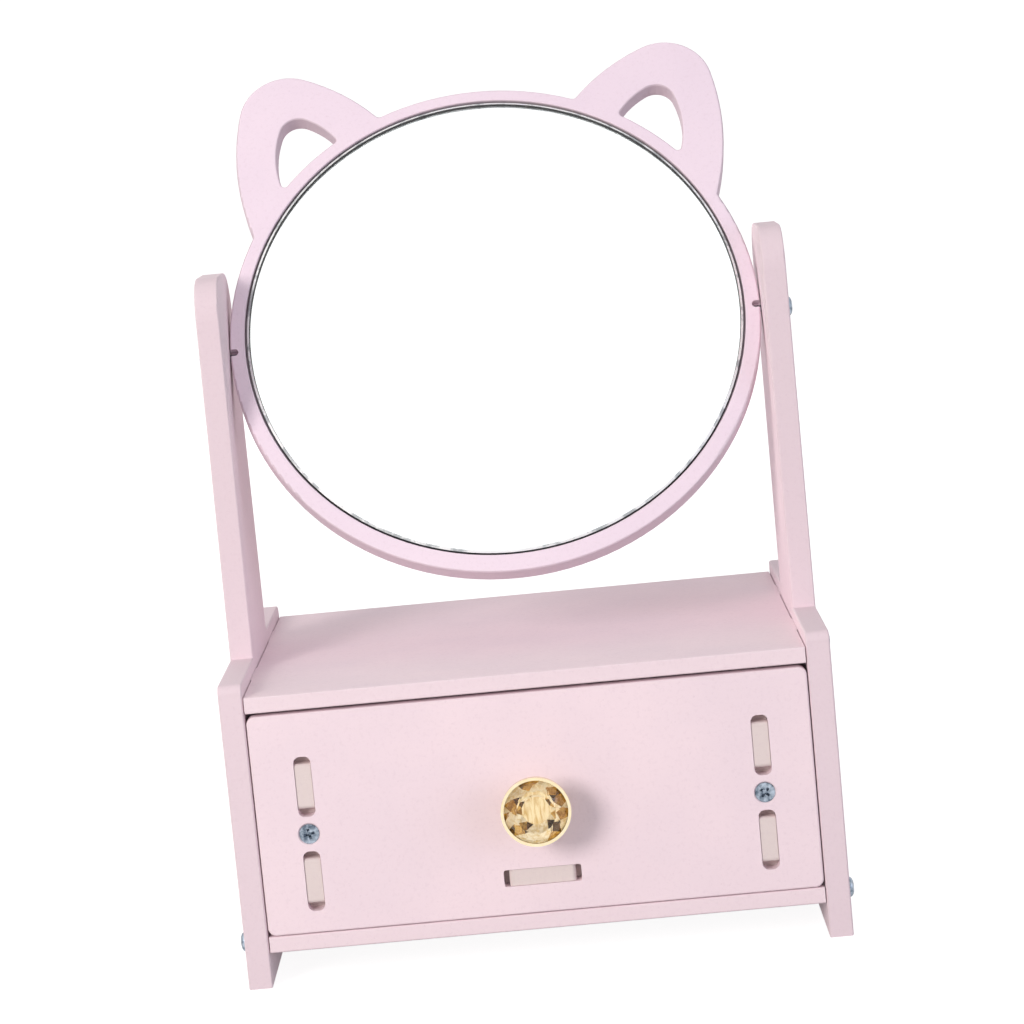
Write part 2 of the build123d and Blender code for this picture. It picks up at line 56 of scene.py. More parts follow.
WELD = 0.001  # millimetres, the gap under which two corners of a CAD mesh are one
WAVE_FACTOR = 20.0  # the wave texture multiplies places by this, apart from its scale


def mm(*values: float) -> Vector | float:
    """Turns millimetres to metres.

    Args:
        values: One length, or the three parts of a place.

    Returns:
        A number for one length, and a vector for three.
    """
    return values[0] * MM if len(values) == 1 else Vector(values) * MM


def linear(code: str) -> tuple[float, float, float, float]:
    """Turns an sRGB hex colour to linear light.

    Args:
        code: Six hex digits after a hash sign.

    Returns:
        Red, green, blue and an alpha of one.
    """
    parts = [int(code[i : i + 2], 16) / 255 for i in (1, 3, 5)]
    light = [c / 12.92 if c <= 0.04045 else ((c + 0.055) / 1.055) ** 2.4 for c in parts]
    return (light[0], light[1], light[2], 1.0)


def per(size: float) -> float:
    """Returns the texture scale whose features are the given size in millimetres."""
    return 1.0 / mm(size)


def taken(limits: tuple[float, float]) -> dict[str, float]:
    """Returns the sockets of a Map Range node for the values that it takes in."""
    return {"From Min": limits[0], "From Max": limits[1]}


def given(limits: tuple[float, float]) -> dict[str, float]:
    """Returns the sockets of a Map Range node for the values that it gives out."""
    return {"To Min": limits[0], "To Max": limits[1]}


def add(tree: bpy.types.NodeTree, kind: str, settings: dict, sockets: dict) -> bpy.types.Node:
    """Adds a node with its settings and links.

    Args:
        tree: The tree that the node joins.
        kind: The node's type, as Blender names it.
        settings: The node's own options by name.
        sockets: What each input holds, by name or number: a value, or another node's output.

    Returns:
        The new node.
    """
    made = tree.nodes.new(kind)
    for name, value in settings.items():
        setattr(made, name, value)
    for key, value in sockets.items():
        if isinstance(value, bpy.types.NodeSocket):
            tree.links.new(value, made.inputs[key])
        else:
            made.inputs[key].default_value = value
    return made


def new_tree(
    name: str,
) -> tuple[bpy.types.Material, bpy.types.NodeTree, bpy.types.Node, bpy.types.NodeSocket]:
    """Makes an empty material.

    Args:
        name: The material's name.

    Returns:
        The material, its node tree, its output node, and the socket that gives places on the object.
    """
    made = bpy.data.materials.new(name)
    made.use_nodes = True
    tree = made.node_tree
    tree.nodes.clear()
    coord = add(tree, "ShaderNodeTexCoord", {}, {})
    return made, tree, tree.nodes.new("ShaderNodeOutputMaterial"), coord.outputs["Object"]


class BoardAxis(Enum):
    """The direction that a board's thickness runs in."""

    ACROSS = 0
    DEPTH = 1
    UP = 2


@dataclass(frozen=True)
class FoamedBoard:
    """Foamed wood-plastic board, rolled to a matt skin and cut with a router.

    The eye gets a chalky pastel face with a faint cloudiness and fine pores, and edges that show the
    router's short lines across the thickness and a more open foam.
    """

    skin: str = "#F5E0E6"
    skin_cloud: str = "#F0DCE3"
    edge: str = "#F0DCE2"
    pore: str = "#CDB4BF"
    cloud_size: float = 46.0
    fleck_size: float = 1.5
    grain_size: float = 0.75
    cutter_step: float = 0.9
    roughness: float = 0.62
    ior: float = 1.49
    grain_relief: float = 0.035
    cutter_relief: float = 0.06
    skin_facing: tuple[float, float] = (0.72, 0.97)  # from cut edge to skin, by how square a face looks out
    cloud_band: tuple[float, float] = (0.35, 0.65)
    fleck_band: tuple[float, float] = (0.52, 0.8)
    fleck_share: float = 0.22
    pore_reach: tuple[float, float] = (0.05, 0.13)
    pore_share: float = 0.16
    cutter_drawn: float = 0.08  # the cutter's lines run this much slower across the thickness
    roughness_spread: tuple[float, float] = (-0.04, 0.16)

    def material(self, name: str, axis: BoardAxis, lean: float = 0.0) -> bpy.types.Material:
        """Makes the board's material.

        Args:
            name: The material's name.
            axis: The direction of the board's thickness.
            lean: How far the board leans back, in degrees.

        Returns:
            The material.
        """
        made, tree, output, here = new_tree(name)
        upright = {"rotation_type": "X_AXIS"}
        angle = math.radians(lean)
        place, facing = (
            add(tree, "ShaderNodeVectorRotate", upright, {"Vector": source, "Angle": angle})
            for source in (here, here.node.outputs["Normal"])
        )
        split = add(tree, "ShaderNodeSeparateXYZ", {}, {0: facing.outputs[0]})
        along = add(tree, "ShaderNodeMath", {"operation": "ABSOLUTE"}, {0: split.outputs[axis.value]})
        on_skin = add(
            tree, "ShaderNodeMapRange", {"interpolation_type": "SMOOTHSTEP"},
            {"Value": along.outputs[0], **taken(self.skin_facing)},
        )
        cloud = add(
            tree, "ShaderNodeTexNoise", {},
            {"Vector": place.outputs[0], "Scale": per(self.cloud_size), "Detail": 3.0, "Roughness": 0.55},
        )
        cloud_part = add(
            tree, "ShaderNodeMapRange", {}, {"Value": cloud.outputs[0], **taken(self.cloud_band)}
        )
        fleck = add(
            tree, "ShaderNodeTexNoise", {},
            {"Vector": place.outputs[0], "Scale": per(self.fleck_size), "Detail": 4.0, "Roughness": 0.7},
        )
        fleck_part = add(
            tree, "ShaderNodeMapRange", {},
            {"Value": fleck.outputs[0], **taken(self.fleck_band), **given((0.0, self.fleck_share))},
        )
        pores = add(
            tree, "ShaderNodeTexVoronoi", {},
            {"Vector": place.outputs[0], "Scale": per(self.fleck_size * 2), "Randomness": 1.0},
        )
        pore_part = add(
            tree, "ShaderNodeMapRange", {},
            {"Value": pores.outputs["Distance"], **taken(self.pore_reach), **given((self.pore_share, 0.0))},
        )
        skin = add(
            tree, "ShaderNodeMix", {"data_type": "RGBA"},
            {0: cloud_part.outputs[0], 6: linear(self.skin), 7: linear(self.skin_cloud)},
        )
        body = add(
            tree, "ShaderNodeMix", {"data_type": "RGBA"},
            {0: on_skin.outputs[0], 6: linear(self.edge), 7: skin.outputs[2]},
        )
        flecked = add(
            tree, "ShaderNodeMix", {"data_type": "RGBA"},
            {0: fleck_part.outputs[0], 6: body.outputs[2], 7: linear(self.pore)},
        )
        colour = add(
            tree, "ShaderNodeMix", {"data_type": "RGBA"},
            {0: pore_part.outputs[0], 6: flecked.outputs[2], 7: linear(self.pore)},
        )
        stretch = [1.0, 1.0, 1.0]
        stretch[axis.value] = self.cutter_drawn
        lines = add(
            tree, "ShaderNodeVectorMath", {"operation": "MULTIPLY"}, {0: place.outputs[0], 1: stretch}
        )
        cutter = add(
            tree, "ShaderNodeTexNoise", {},
            {"Vector": lines.outputs[0], "Scale": per(self.cutter_step), "Detail": 2.0},
        )
        grain = add(
            tree, "ShaderNodeTexNoise", {},
            {"Vector": place.outputs[0], "Scale": per(self.grain_size), "Detail": 3.0, "Roughness": 0.6},
        )
        edge_part = add(tree, "ShaderNodeMath", {"operation": "SUBTRACT"}, {0: 1.0, 1: on_skin.outputs[0]})
        cutter_bump = add(
            tree, "ShaderNodeBump", {},
            {"Strength": edge_part.outputs[0], "Distance": mm(self.cutter_relief),
             "Height": cutter.outputs[0]},
        )
        grain_bump = add(
            tree, "ShaderNodeBump", {},
            {"Distance": mm(self.grain_relief), "Height": grain.outputs[0], "Normal": cutter_bump.outputs[0]},
        )
        low, high = (self.roughness + part for part in self.roughness_spread)
        rough = add(tree, "ShaderNodeMapRange", {}, {"Value": fleck.outputs[0], **given((low, high))})
        shader = add(
            tree, "ShaderNodeBsdfPrincipled", {},
            {"Base Color": colour.outputs[2], "Roughness": rough.outputs[0], "IOR": self.ior,
             "Normal": grain_bump.outputs[0]},
        )
        tree.links.new(shader.outputs[0], output.inputs["Surface"])
        return made


@dataclass(frozen=True)
class ZincPlate:
    """Zinc plate on a pressed steel screw, passivated.

    The eye gets a cool grey metal, mottled light and dark, that is dull next to polish.
    """

    pale: str = "#AEB9C6"
    dark: str = "#596573"
    blotch_size: float = 1.6
    blotch_band: tuple[float, float] = (0.35, 0.65)
    grain_size: float = 0.35
    grain_relief: float = 0.01
    roughness: float = 0.34
    roughness_spread: tuple[float, float] = (-0.1, 0.14)

    def material(self) -> bpy.types.Material:
        """Makes the plating's material.

        Returns:
            The material.
        """
        made, tree, output, here = new_tree("zinc_plate")
        blotch = add(
            tree, "ShaderNodeTexNoise", {},
            {"Vector": here, "Scale": per(self.blotch_size), "Detail": 3.0},
        )
        spread = add(
            tree, "ShaderNodeMapRange", {}, {"Value": blotch.outputs[0], **taken(self.blotch_band)}
        )
        colour = add(
            tree, "ShaderNodeMix", {"data_type": "RGBA"},
            {0: spread.outputs[0], 6: linear(self.dark), 7: linear(self.pale)},
        )
        low, high = (self.roughness + part for part in self.roughness_spread)
        rough = add(tree, "ShaderNodeMapRange", {}, {"Value": blotch.outputs[0], **given((low, high))})
        grain = add(tree, "ShaderNodeTexNoise", {}, {"Vector": here, "Scale": per(self.grain_size)})
        bump = add(
            tree, "ShaderNodeBump", {}, {"Distance": mm(self.grain_relief), "Height": grain.outputs[0]}
        )
        shader = add(
            tree, "ShaderNodeBsdfPrincipled", {},
            {"Base Color": colour.outputs[2], "Metallic": 1.0, "Roughness": rough.outputs[0],
             "Normal": bump.outputs[0]},
        )
        tree.links.new(shader.outputs[0], output.inputs["Surface"])
        return made


@dataclass(frozen=True)
class GoldPlate:
    """Pale gold plate on a turned and polished brass cup.

    The eye gets a warm mirror-like metal with faint rings from the lathe.
    """

    colour: str = "#F6E9CC"
    worn: str = "#E6D2A4"
    patch_size: float = 4.0
    ring_radian: float = 0.35  # so a ring each 2.2 mm, coarser than a lathe's, which would not show
    ring_waver: float = 0.4
    ring_relief: float = 0.004
    roughness: float = 0.14
    roughness_spread: tuple[float, float] = (-0.06, 0.08)

    def material(self) -> bpy.types.Material:
        """Makes the plating's material.

        Returns:
            The material.
        """
        made, tree, output, here = new_tree("gold_plate")
        patch = add(
            tree, "ShaderNodeTexNoise", {}, {"Vector": here, "Scale": per(self.patch_size), "Detail": 3.0}
        )
        colour = add(
            tree, "ShaderNodeMix", {"data_type": "RGBA"},
            {0: patch.outputs[0], 6: linear(self.colour), 7: linear(self.worn)},
        )
        low, high = (self.roughness + part for part in self.roughness_spread)
        rough = add(tree, "ShaderNodeMapRange", {}, {"Value": patch.outputs[0], **given((low, high))})
        rings = add(
            tree, "ShaderNodeTexWave", {"wave_type": "BANDS", "bands_direction": "Y"},
            {"Vector": here, "Scale": per(self.ring_radian) / WAVE_FACTOR,
             "Distortion": self.ring_waver},
        )
        bump = add(
            tree, "ShaderNodeBump", {}, {"Distance": mm(self.ring_relief), "Height": rings.outputs[1]}
        )
        shader = add(
            tree, "ShaderNodeBsdfPrincipled", {},
            {"Base Color": colour.outputs[2], "Metallic": 1.0, "Roughness": rough.outputs[0],
             "Normal": bump.outputs[0]},
        )
        tree.links.new(shader.outputs[0], output.inputs["Surface"])
        return made


@dataclass(frozen=True)
class FoilWithPaintedReflection:
    """A foil behind some back facets: streaks of painted glints over a tint. The tints differ from one foil
    to the next as painted reflections, standing in for the parts of a room that the facets catch.

    The streaks are drawn out upright by stretch. Metal is the share that shines, the rest being matt
    lacquer.
    """

    name: str
    tint: str
    painted_glint: str
    stretch: float
    metal: float


@dataclass(frozen=True)
class CastAcrylic:
    """Champagne coloured cast acrylic, cut to facets and polished, with foil behind it.

    The eye gets deep amber and pale straw patches that change from facet to facet: painted reflections, made
    by foil of several tints dealt to the back facets, with the real reflections on top.
    """

    body: str = "#FCF3DF"
    ior: float = 1.49
    haze_roughness: float = 0.03
    streak_size: float = 1.1
    streak_band: tuple[float, float] = (0.42, 0.62)
    streak_waver: float = 0.6
    foil_roughness: float = 0.08
    # each foil's tints are painted reflections: pale, amber and near-black facets stand in for bright and
    # dark parts of the room
    foils_with_painted_reflections: tuple[FoilWithPaintedReflection, ...] = (
        FoilWithPaintedReflection("foil_table_painted_reflection", "#F7E9C8", "#D2B274", 5.0, 0.5),
        FoilWithPaintedReflection("foil_straw_painted_reflection", "#FFF8E6", "#EBD5A4", 1.0, 0.25),
        FoilWithPaintedReflection("foil_amber_painted_reflection", "#DDB460", "#A87626", 1.0, 0.6),
        FoilWithPaintedReflection("foil_deep_painted_reflection", "#7A5626", "#2A2014", 1.0, 0.9),
    )

    def clear(self) -> bpy.types.Material:
        """Makes the clear front's material.

        Returns:
            The material.
        """
        made, tree, output, here = new_tree("cast_acrylic")
        haze = add(
            tree, "ShaderNodeTexNoise", {},
            {"Vector": here, "Scale": per(self.streak_size), "Detail": 2.0},
        )
        rough = add(
            tree, "ShaderNodeMapRange", {}, {"Value": haze.outputs[0], **given((0.0, self.haze_roughness))}
        )
        shader = add(
            tree, "ShaderNodeBsdfPrincipled", {},
            {"Base Color": linear(self.body), "Roughness": rough.outputs[0], "IOR": self.ior,
             "Transmission Weight": 1.0},
        )
        tree.links.new(shader.outputs[0], output.inputs["Surface"])
        return made

    def backing(self, foil: FoilWithPaintedReflection) -> bpy.types.Material:
        """Makes one foil's material, whose tints are painted reflections.

        Args:
            foil: What it looks like.

        Returns:
            The material.
        """
        made, tree, output, here = new_tree(foil.name)
        drawn = add(
            tree, "ShaderNodeVectorMath", {"operation": "MULTIPLY"},
            {0: here, 1: (1.0, 1.0, 1.0 / foil.stretch)},
        )
        streak = add(
            tree, "ShaderNodeTexNoise", {},
            {"Vector": drawn.outputs[0], "Scale": per(self.streak_size), "Detail": 4.0,
             "Distortion": self.streak_waver},
        )
        share = add(
            tree, "ShaderNodeMapRange", {}, {"Value": streak.outputs[0], **taken(self.streak_band)}
        )
        colour = add(
            tree, "ShaderNodeMix", {"data_type": "RGBA"},
            {0: share.outputs[0], 6: linear(foil.tint), 7: linear(foil.painted_glint)},
        )
        shader = add(
            tree, "ShaderNodeBsdfPrincipled", {},
            {"Base Color": colour.outputs[2], "Metallic": foil.metal, "Roughness": self.foil_roughness},
        )
        tree.links.new(shader.outputs[0], output.inputs["Surface"])
        return made

    def all(self) -> list[bpy.types.Material]:
        """Returns the clear front and then each foil with its painted reflection, in the order of the stone's
        material numbers.
        """
        return [self.clear()] + [self.backing(foil) for foil in self.foils_with_painted_reflections]


@dataclass(frozen=True)
class SilveredGlass:
    """Float glass with a silvered and painted back and a ground edge.

    The eye gets a clean reflection, with a pale sparkling rim where the ground edge catches light, and a dark
    ring outside it that is painted shade of the gap between glass and frame.
    """

    silver: str = "#F7F9F9"
    # dark sealing colour: real on the back, and painted shade of the gap between glass and frame where it
    # laps round the edge
    paint_and_gap_shade: str = "#26262A"
    edge: str = "#FAFCFC"
    chip: str = "#B4BABC"
    ior: float = 1.52
    film_size: float = 40.0
    film_band: tuple[float, float] = (0.6, 0.9)
    film_roughness: float = 0.01
    silver_film_size: float = 60.0
    silver_film_band: tuple[float, float] = (0.5, 0.9)
    silver_film_roughness: float = 0.004
    grit: float = 0.45
    grit_relief: float = 0.08
    chip_size: float = 5.0
    chip_band: tuple[float, float] = (0.5, 0.62)
    edge_roughness: float = 0.35
    peel_size: float = 1.2
    peel_relief: float = 0.03
    paint_roughness: float = 0.5

    def clear(self) -> bpy.types.Material:
        """Makes the polished front's material.

        Returns:
            The material.
        """
        made, tree, output, here = new_tree("float_glass")
        film = add(tree, "ShaderNodeTexNoise", {}, {"Vector": here, "Scale": per(self.film_size)})
        rough = add(
            tree, "ShaderNodeMapRange", {},
            {"Value": film.outputs[0], **taken(self.film_band), **given((0.0, self.film_roughness))},
        )
        shader = add(
            tree, "ShaderNodeBsdfPrincipled", {},
            {"Base Color": (1.0, 1.0, 1.0, 1.0), "Roughness": rough.outputs[0], "IOR": self.ior,
             "Transmission Weight": 1.0},
        )
        tree.links.new(shader.outputs[0], output.inputs["Surface"])
        return made

    def silvering(self) -> bpy.types.Material:
        """Makes the silver's material.

        Returns:
            The material.
        """
        made, tree, output, here = new_tree("silvering")
        film = add(tree, "ShaderNodeTexNoise", {}, {"Vector": here, "Scale": per(self.silver_film_size)})
        rough = add(
            tree, "ShaderNodeMapRange", {},
            {"Value": film.outputs[0], **taken(self.silver_film_band),
             **given((0.0, self.silver_film_roughness))},
        )
        shader = add(
            tree, "ShaderNodeBsdfPrincipled", {},
            {"Base Color": linear(self.silver), "Metallic": 1.0, "Roughness": rough.outputs[0]},
        )
        tree.links.new(shader.outputs[0], output.inputs["Surface"])
        return made

    def ground(self) -> bpy.types.Material:
        """Makes the ground edge's material, with chips left by the wheel.

        Returns:
            The material.
        """
        made, tree, output, here = new_tree("ground_edge")
        chips = add(
            tree, "ShaderNodeTexNoise", {},
            {"Vector": here, "Scale": per(self.grit), "Detail": 3.0, "Roughness": 0.7},
        )
        patches = add(
            tree, "ShaderNodeTexNoise", {}, {"Vector": here, "Scale": per(self.chip_size), "Detail": 3.0}
        )
        shade = add(
            tree, "ShaderNodeMapRange", {}, {"Value": patches.outputs[0], **taken(self.chip_band)}
        )
        colour = add(
            tree, "ShaderNodeMix", {"data_type": "RGBA"},
            {0: shade.outputs[0], 6: linear(self.edge), 7: linear(self.chip)},
        )
        bump = add(
            tree, "ShaderNodeBump", {}, {"Distance": mm(self.grit_relief), "Height": chips.outputs[0]}
        )
        shader = add(
            tree, "ShaderNodeBsdfPrincipled", {},
            {"Base Color": colour.outputs[2], "Roughness": self.edge_roughness, "IOR": self.ior,
             "Normal": bump.outputs[0]},
        )
        tree.links.new(shader.outputs[0], output.inputs["Surface"])
        return made

    def painted(self) -> bpy.types.Material:
        """Makes the dark sealing material on the back and round the edge, which is also painted shade where
        it laps onto the front.

        Returns:
            The material.
        """
        made, tree, output, here = new_tree("sealing_paint_and_gap_shade")
        peel = add(tree, "ShaderNodeTexNoise", {}, {"Vector": here, "Scale": per(self.peel_size)})
        bump = add(
            tree, "ShaderNodeBump", {}, {"Distance": mm(self.peel_relief), "Height": peel.outputs[0]}
        )
        shader = add(
            tree, "ShaderNodeBsdfPrincipled", {},
            {"Base Color": linear(self.paint_and_gap_shade), "Roughness": self.paint_roughness,
             "Normal": bump.outputs[0]},
        )
        tree.links.new(shader.outputs[0], output.inputs["Surface"])
        return made


@dataclass(frozen=True)
class FoamTape:
    """White polyethylene foam tape with glue on both faces. The eye gets a soft closed foam."""

    colour: str = "#EDEDE8"
    cell_size: float = 0.8
    cell_relief: float = 0.05
    roughness: float = 0.8

    def material(self) -> bpy.types.Material:
        """Makes the tape's material.

        Returns:
            The material.
        """
        made, tree, output, here = new_tree("foam_tape")
        cells = add(tree, "ShaderNodeTexVoronoi", {}, {"Vector": here, "Scale": per(self.cell_size)})
        bump = add(
            tree, "ShaderNodeBump", {},
            {"Distance": mm(self.cell_relief), "Height": cells.outputs["Distance"]},
        )
        shader = add(
            tree, "ShaderNodeBsdfPrincipled", {},
            {"Base Color": linear(self.colour), "Roughness": self.roughness, "Normal": bump.outputs[0]},
        )
        tree.links.new(shader.outputs[0], output.inputs["Surface"])
        return made


@dataclass(frozen=True)
class BackdropPaper:
    """White seamless paper, lit from behind. The eye gets a plain pale floor without a horizon.

    It lights matt surfaces much less than it glows, so that a bright floor doesn't flatten them.
    """

    colour: str = "#8C8B8A"
    glow: float = 0.9
    glow_on_matt: float = 0.05
    fibre_size: float = 3.0
    fibre_relief: float = 0.02
    roughness: float = 0.9

    def material(self) -> bpy.types.Material:
        """Makes the paper's material.

        Returns:
            The material.
        """
        made, tree, output, here = new_tree("backdrop_paper")
        fibre = add(tree, "ShaderNodeTexNoise", {}, {"Vector": here, "Scale": per(self.fibre_size)})
        bump = add(
            tree, "ShaderNodeBump", {}, {"Distance": mm(self.fibre_relief), "Height": fibre.outputs[0]}
        )
        path = add(tree, "ShaderNodeLightPath", {}, {})
        glow = add(
            tree, "ShaderNodeMapRange", {},
            {"Value": path.outputs["Is Diffuse Ray"], **given((self.glow, self.glow_on_matt))},
        )
        shader = add(
            tree, "ShaderNodeBsdfPrincipled", {},
            {"Base Color": linear(self.colour), "Roughness": self.roughness,
             "Emission Color": (1.0, 1.0, 1.0, 1.0), "Emission Strength": glow.outputs[0],
             "Normal": bump.outputs[0]},
        )
        tree.links.new(shader.outputs[0], output.inputs["Surface"])
        return made


def new_piece(
    name: str, mesh: bpy.types.Mesh, materials: Sequence[bpy.types.Material], sharp_angle: float
) -> bpy.types.Object:
    """Makes an object of a mesh, with its finishes and its shading.

    Args:
        name: The piece's name.
        mesh: Its mesh.
        materials: One for each material number that the mesh uses.
        sharp_angle: The angle, in degrees, past which an edge stays sharp.

    Returns:
        The new object.
    """
    for material in materials:
        mesh.materials.append(material)
    mesh.shade_smooth()
    mesh.set_sharp_from_angle(angle=math.radians(sharp_angle))
    piece = bpy.data.objects.new(name, mesh)
    bpy.context.scene.collection.objects.link(piece)
    return piece


def ring_mesh(
    name: str, rings: Sequence[Sequence[Vector]], finish_of_band: Callable[[int], int] = lambda band: 0
) -> bpy.types.Mesh:
    """Skins a row of rings and closes both ends.

    Args:
        name: The mesh's name.
        rings: Rings of as many points each. A ring of one point is a pole.
        finish_of_band: The material number of the band after each ring.

    Returns:
        The closed mesh.
    """
    bm = bmesh.new()
    rows = [[bm.verts.new(point) for point in ring] for ring in rings]
    for band, (low, high) in enumerate(zip(rows, rows[1:])):
        count = max(len(low), len(high))
        for i in range(count):
            corners = [
                ring[k % len(ring)] for ring, k in ((low, i), (low, i + 1), (high, i + 1), (high, i))
            ]
            face = bm.faces.new(list(dict.fromkeys(corners)))
            face.material_index = finish_of_band(band)
    bmesh.ops.recalc_face_normals(bm, faces=bm.faces)
    mesh = bpy.data.meshes.new(name)
    bm.to_mesh(mesh)
    bm.free()
    return mesh


def islands(node: str) -> list[tuple[Vector, Vector]]:
    """Finds the separate solids of a CAD node.

    Args:
        node: The node's name.

    Returns:
        The lowest and highest corner of each.
    """
    bm = bmesh.new()
    bm.from_mesh(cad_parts[node].data)
    bmesh.ops.remove_doubles(bm, verts=bm.verts, dist=mm(WELD))
    left = set(bm.verts)
    found = []
    while left:
        group, edge = set(), [left.pop()]
        while edge:
            vert = edge.pop()
            group.add(vert)
            near = [e.other_vert(vert) for e in vert.link_edges]
            edge += [v for v in near if v in left]
            left.difference_update(near)
        corners = [Vector(pick(v.co[i] for v in group) for i in range(3)) for pick in (min, max)]
        found.append((corners[0], corners[1]))
    bm.free()
    return sorted(found, key=lambda box: tuple(box[0]))


class HeadStyle(Enum):
    """The shape of a screw's head."""

    PAN = "pan"
    FLAT = "flat"


@dataclass
class CrossScrew:
    """A cross-recessed screw, drawn along +Z with its seat at zero, and its length below."""

    style: HeadStyle
    head_radius: float
    head_height: float
    shank_radius: float
    core_radius: float
    length: float
    pitch: float
    point_length: float
    point_radius: float = 0.3
    flat_edge: float = 0.3
    pan_power: float = 2.7
    recess_span: float = 4.0
    recess_width: float = 1.0
    recess_depth: float = 1.5
    recess_taper: float = 0.45
    recess_overshoot: float = 1.0
    head_steps: int = 9
    flat_steps: tuple[float, ...] = (0.35, 0.7, 1.0)
    ridge_share: float = 0.25  # half of a thread's ridge, as a share of the pitch
    sides: int = 28
    steps_per_turn: int = 8
    head_turn: float = 12.0
    head_turn_step: float = 37.0  # each screw in a row was driven to another angle
    sharp_angle: float = 35.0

    def circle(self, radius: float, height: float) -> list[Vector]:
        """Returns one round ring of points."""
        turns = [2 * math.pi * i / self.sides for i in range(self.sides)]
        return [mm(radius * math.cos(a), radius * math.sin(a), height) for a in turns]

    def head_rings(self) -> list[list[Vector]]:
        """Draws the head from its crown to the shank.

        Returns:
            The crown's pole and the rings below it.
        """
        if self.style is HeadStyle.FLAT:
            seat = self.head_radius - self.flat_edge / 2
            profile = [(seat * part, 0.0) for part in self.flat_steps]
            profile += [(self.head_radius, -self.flat_edge / 2), (self.head_radius, -self.flat_edge)]
            profile += [(self.shank_radius, -self.flat_edge - self.head_radius + self.shank_radius)]
            top = 0.0
        else:
            steps = self.head_steps
            shares = [math.sin(math.pi / 2 * i / steps) for i in range(2, steps + 1)]
            profile = [
                (self.head_radius * s, self.head_height * (1 - s**self.pan_power) ** (1 / self.pan_power))
                for s in shares
            ]
            profile += [(self.shank_radius, 0.0)]
            top = self.head_height
        return [[mm(0, 0, top)]] + [self.circle(radius, height) for radius, height in profile]

    def shank_rings(self, start: float) -> list[list[Vector]]:
        """Draws the thread from the head to the point.

        Args:
            start: The height where the thread begins.

        Returns:
            The rings, and the tip as a pole.
        """
        step = self.pitch / self.steps_per_turn
        rings = []
        for row in range(int((self.length + start) / step)):
            height = start - row * step
            left = self.length + height
            taper = min(1.0, (left + self.point_radius) / self.point_length) if self.point_length else 1.0
            ring = []
            for i in range(self.sides):
                phase = (height / self.pitch - i / self.sides) % 1.0
                ridge = max(0.0, 1.0 - abs(phase - 0.5) / self.ridge_share)
                radius = taper * (self.core_radius + (self.shank_radius - self.core_radius) * ridge)
                turn = 2 * math.pi * i / self.sides
                ring.append(mm(radius * math.cos(turn), radius * math.sin(turn), height))
            rings.append(ring)
        return rings + [[mm(0, 0, -self.length)]]

    def recess_cutter(self, turn: float) -> bpy.types.Object:
        """Makes one tapered bar of the cross.

        Args:
            turn: The bar's direction, in degrees.

        Returns:
            The cutter.
        """
        top = 0.0 if self.style is HeadStyle.FLAT else self.head_height
        above, floor = top + self.recess_overshoot, top - self.recess_depth
        rings = []
        for height, share in ((above, 1.0), (top, 1.0), (floor, self.recess_taper)):
            x, y = self.recess_span / 2 * share, self.recess_width / 2 * (0.5 + share / 2)
            rings.append([mm(a, b, height) for a, b in ((-x, -y), (x, -y), (x, y), (-x, y))])
        rings = [[sum(rings[0], Vector()) / 4]] + rings + [[sum(rings[-1], Vector()) / 4]]
        mesh = ring_mesh("recess_cutter", rings)
        mesh.transform(Matrix.Rotation(math.radians(turn), 4, "Z"))
        cutter = bpy.data.objects.new("recess_cutter", mesh)
        bpy.context.scene.collection.objects.link(cutter)
        return cutter

    def mesh(self) -> bpy.types.Mesh:
        """Makes the whole screw as one closed mesh.

        Returns:
            The mesh.
        """
        head = self.head_rings()
        start = head[-1][0].z / MM
        blank = ring_mesh("screw_blank", head + self.shank_rings(start - self.pitch / 4))
        screw = bpy.data.objects.new("screw_blank", blank)
        bpy.context.scene.collection.objects.link(screw)
        cutters = [self.recess_cutter(turn) for turn in (0.0, 90.0)]
        for cutter in cutters:
            cut = screw.modifiers.new("recess", "BOOLEAN")
            cut.operation = "DIFFERENCE"
            cut.solver = "EXACT"
            cut.object = cutter
        seen = screw.evaluated_get(bpy.context.evaluated_depsgraph_get())
        made = bpy.data.meshes.new_from_object(seen)
        for spare in [screw, *cutters]:
            bpy.data.objects.remove(spare)
        return made

    def fill(self, node: str, outward: Vector, body: str, finish: bpy.types.Material) -> bpy.types.Object:
        """Puts one screw at each solid of a CAD node and stands for that node.

        Args:
            node: The CAD node.
            outward: The way that the heads face.
            body: The body that the screws ride on.
            finish: Their material.

        Returns:
            The new piece.
        """
        template = self.mesh()
        bm = bmesh.new()
        turn = Vector((0, 0, 1)).rotation_difference(outward).to_matrix().to_4x4()
        top = 0.0 if self.style is HeadStyle.FLAT else mm(self.head_height)
        for number, (low, high) in enumerate(islands(node)):
            seat = (low + high) / 2
            for i in range(3):
                if abs(outward[i]) > 0.5:
                    seat[i] = (high[i] if outward[i] > 0 else low[i]) - outward[i] * top
            angle = self.head_turn_step * number + self.head_turn
            spin = Matrix.Rotation(math.radians(angle), 4, "Z")
            copy = template.copy()
            copy.transform(Matrix.Translation(seat) @ turn @ spin)
            bm.from_mesh(copy)
            bpy.data.meshes.remove(copy)
        mesh = bpy.data.meshes.new(node + "_threaded")
        bm.to_mesh(mesh)
        bm.free()
        piece = new_piece(node + "_threaded", mesh, [finish], self.sharp_angle)
        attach(piece, body)
        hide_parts(node)
        LOG.info("%s on %s", piece.name, body)
        return piece


